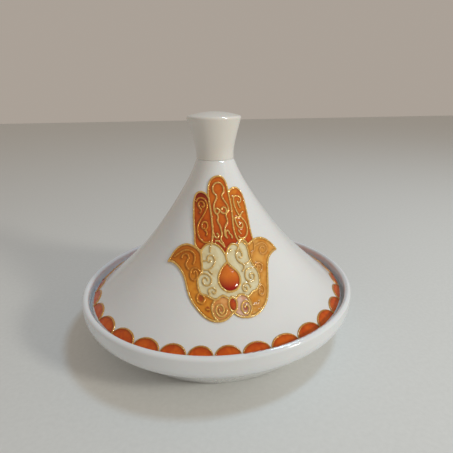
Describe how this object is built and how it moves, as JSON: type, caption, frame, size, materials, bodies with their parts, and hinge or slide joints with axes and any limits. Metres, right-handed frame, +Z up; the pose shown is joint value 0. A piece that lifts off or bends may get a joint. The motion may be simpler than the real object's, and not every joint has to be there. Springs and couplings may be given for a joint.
{
  "type": "tagine pot",
  "caption": "Glazed round tagine with a lift-off conical lid, flared knob, raised hand-shaped ornament in enamel and gold lines, and a scalloped edge.",
  "frame": {"origin": "on the vertical axis of the pot, at the bottom of the dish's foot ring", "axes": "+Z up through the knob; -Y towards the hand ornament on the lid, which is the front; +X to the right seen from the front"},
  "size_m": [0.2098, 0.2098, 0.169],
  "materials": {
    "porcelain_glaze": "glossy white glaze",
    "knob_glaze": "satin warm white glaze",
    "vermilion_enamel": "glossy translucent orange-red",
    "russet_enamel": "glossy translucent red-brown",
    "orange_enamel": "glossy translucent orange",
    "cream_enamel": "glossy cream",
    "red_enamel": "glossy domed red",
    "pale_orange_enamel": "glossy pale orange",
    "pale_pink_enamel": "glossy pale pink",
    "amber_enamel": "glossy amber",
    "gold_relief": "raised gold paste line",
    "amber_relief": "raised amber paste line"
  },
  "bodies": {
    "dish": {"dish": "porcelain_glaze"},
    "lid": {"lid_cone": "porcelain_glaze", "lid_knob": "knob_glaze", "relief_hand_outline": "gold_relief", "relief_left_finger_scrolls": "gold_relief", "relief_middle_finger_scrolls": "gold_relief", "relief_right_finger_scrolls": "gold_relief", "relief_palm_scrolls": "gold_relief", "relief_left_thumb_scrolls": "gold_relief", "relief_right_thumb_scrolls": "amber_relief", "relief_lobe_scrolls": "gold_relief", "enamel_middle_finger": "vermilion_enamel", "enamel_left_finger": "russet_enamel", "enamel_right_finger": "orange_enamel", "enamel_palm": "cream_enamel", "enamel_drop": "red_enamel", "enamel_oval": "red_enamel", "enamel_left_lobe": "pale_orange_enamel", "enamel_right_lobe": "pale_pink_enamel", "enamel_left_thumb": "amber_enamel", "enamel_right_thumb": "amber_enamel", "scallop_enamel": "vermilion_enamel", "scallop_outlines": "gold_relief"}
  },
  "joints": [
    {"name": "lid_lift", "type": "slide", "parent": "dish", "child": "lid", "axis": [0, 0, 1], "range_m": [0, 0.2]}
  ]
}
